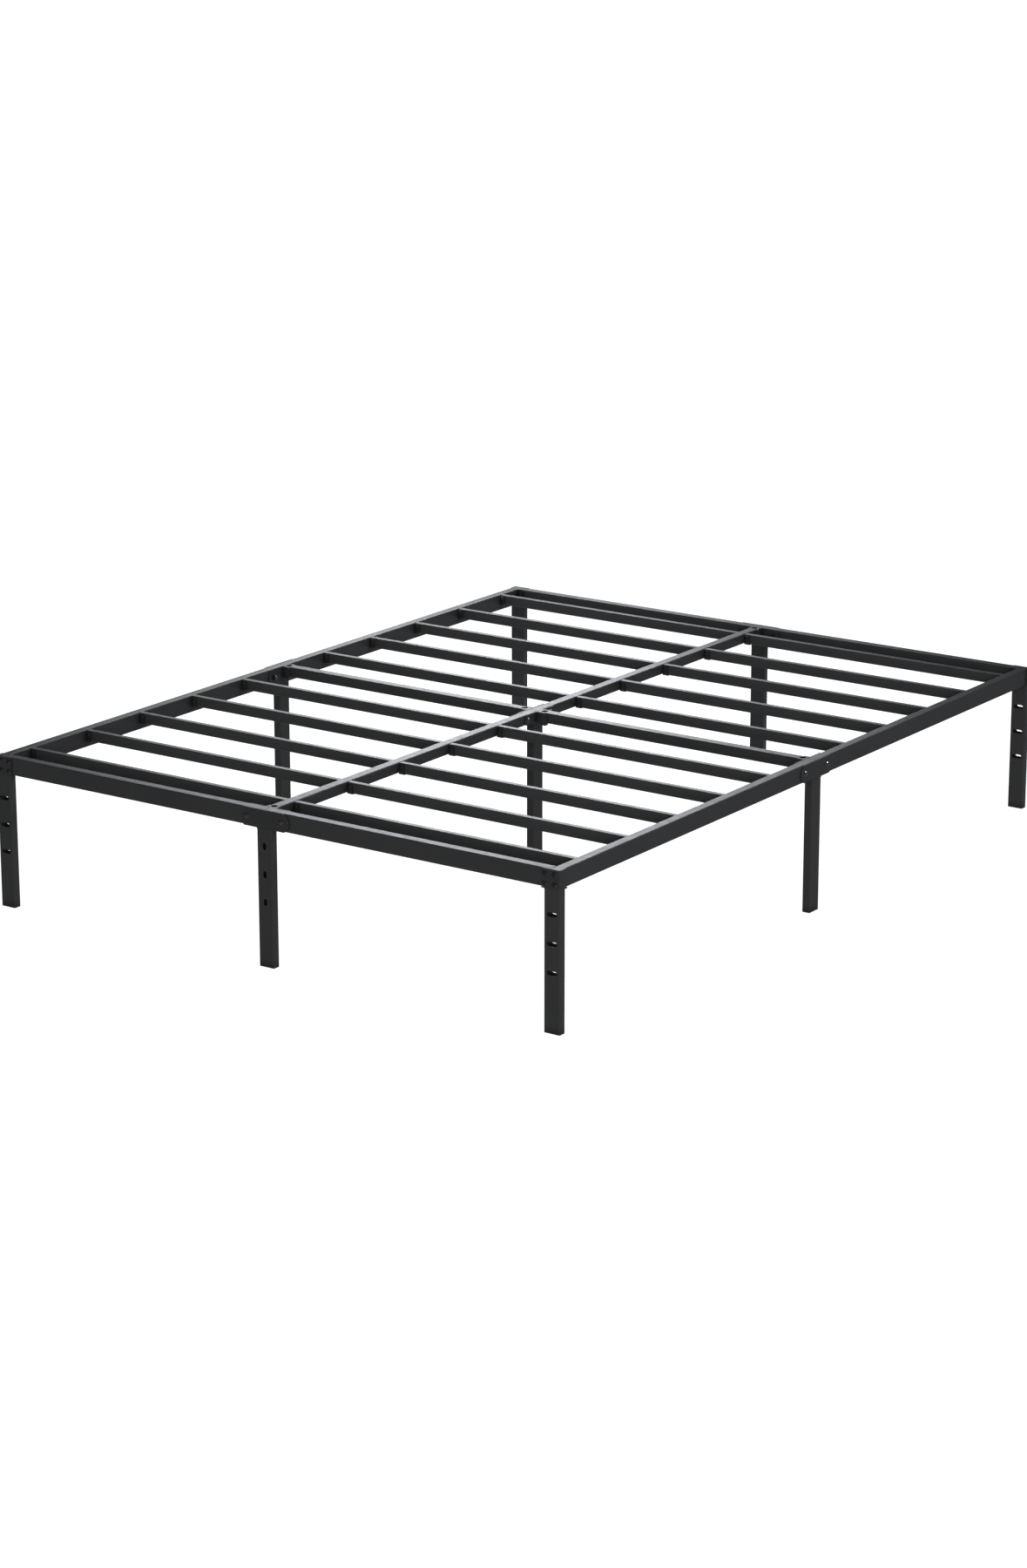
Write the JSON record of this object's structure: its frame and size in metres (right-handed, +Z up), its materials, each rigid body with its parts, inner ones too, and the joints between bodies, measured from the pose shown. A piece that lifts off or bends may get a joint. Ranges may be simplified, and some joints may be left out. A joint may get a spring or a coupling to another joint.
{
  "type": "metal bed frame",
  "caption": "Black steel platform bed frame: bolted tube rails on legs with folded heads, tube slats in strap clips, slotted corner legs for a headboard, open storage space below.",
  "frame": {"origin": "middle of the floor footprint, on the floor plane", "axes": "+X across the bed to the right seen from the foot end, +Y from the foot end to the head end, +Z up"},
  "size_m": [1.545, 2.044, 0.355],
  "materials": {
    "frame_paint": "satin black powder coat",
    "slat_paint": "satin black powder coat",
    "leg_paint": "satin black powder coat",
    "head_paint": "satin black powder coat over folded sheet",
    "fastener": "blackened steel",
    "cap_plastic": "matt moulded black plastic"
  },
  "bodies": {
    "root": {"front_rail_left": "frame_paint", "front_rail_right": "frame_paint", "back_rail_left": "frame_paint", "back_rail_right": "frame_paint", "left_rail_front": "frame_paint", "left_rail_back": "frame_paint", "right_rail_front": "frame_paint", "right_rail_back": "frame_paint", "centre_rail_front": "frame_paint", "centre_rail_back": "frame_paint", "cross_rail_left": "frame_paint", "cross_rail_right": "frame_paint", "slat_left_1": "slat_paint", "slat_left_2": "slat_paint", "slat_left_3": "slat_paint", "slat_left_4": "slat_paint", "slat_left_5": "slat_paint", "slat_left_6": "slat_paint", "slat_left_7": "slat_paint", "slat_left_8": "slat_paint", "slat_left_9": "slat_paint", "slat_left_10": "slat_paint", "slat_right_1": "slat_paint", "slat_right_2": "slat_paint", "slat_right_3": "slat_paint", "slat_right_4": "slat_paint", "slat_right_5": "slat_paint", "slat_right_6": "slat_paint", "slat_right_7": "slat_paint", "slat_right_8": "slat_paint", "slat_right_9": "slat_paint", "slat_right_10": "slat_paint", "leg_front_left": "leg_paint", "leg_front_right": "leg_paint", "leg_back_left": "leg_paint", "leg_back_right": "leg_paint", "leg_front_middle": "leg_paint", "leg_back_middle": "leg_paint", "leg_left_middle": "leg_paint", "leg_right_middle": "leg_paint", "leg_centre": "leg_paint", "head_front_left": "head_paint", "head_front_right": "head_paint", "head_back_left": "head_paint", "head_back_right": "head_paint", "head_front_middle": "head_paint", "head_back_middle": "head_paint", "head_left_middle": "head_paint", "head_right_middle": "head_paint", "head_centre": "head_paint", "clips_left_rail": "head_paint", "clips_centre_left": "head_paint", "clips_centre_right": "head_paint", "clips_right_rail": "head_paint", "corner_bolts": "fastener", "head_bolts": "fastener", "tie_bolts": "fastener", "nuts": "fastener", "clip_screws": "fastener", "foot_caps": "cap_plastic"}
  },
  "joints": []
}
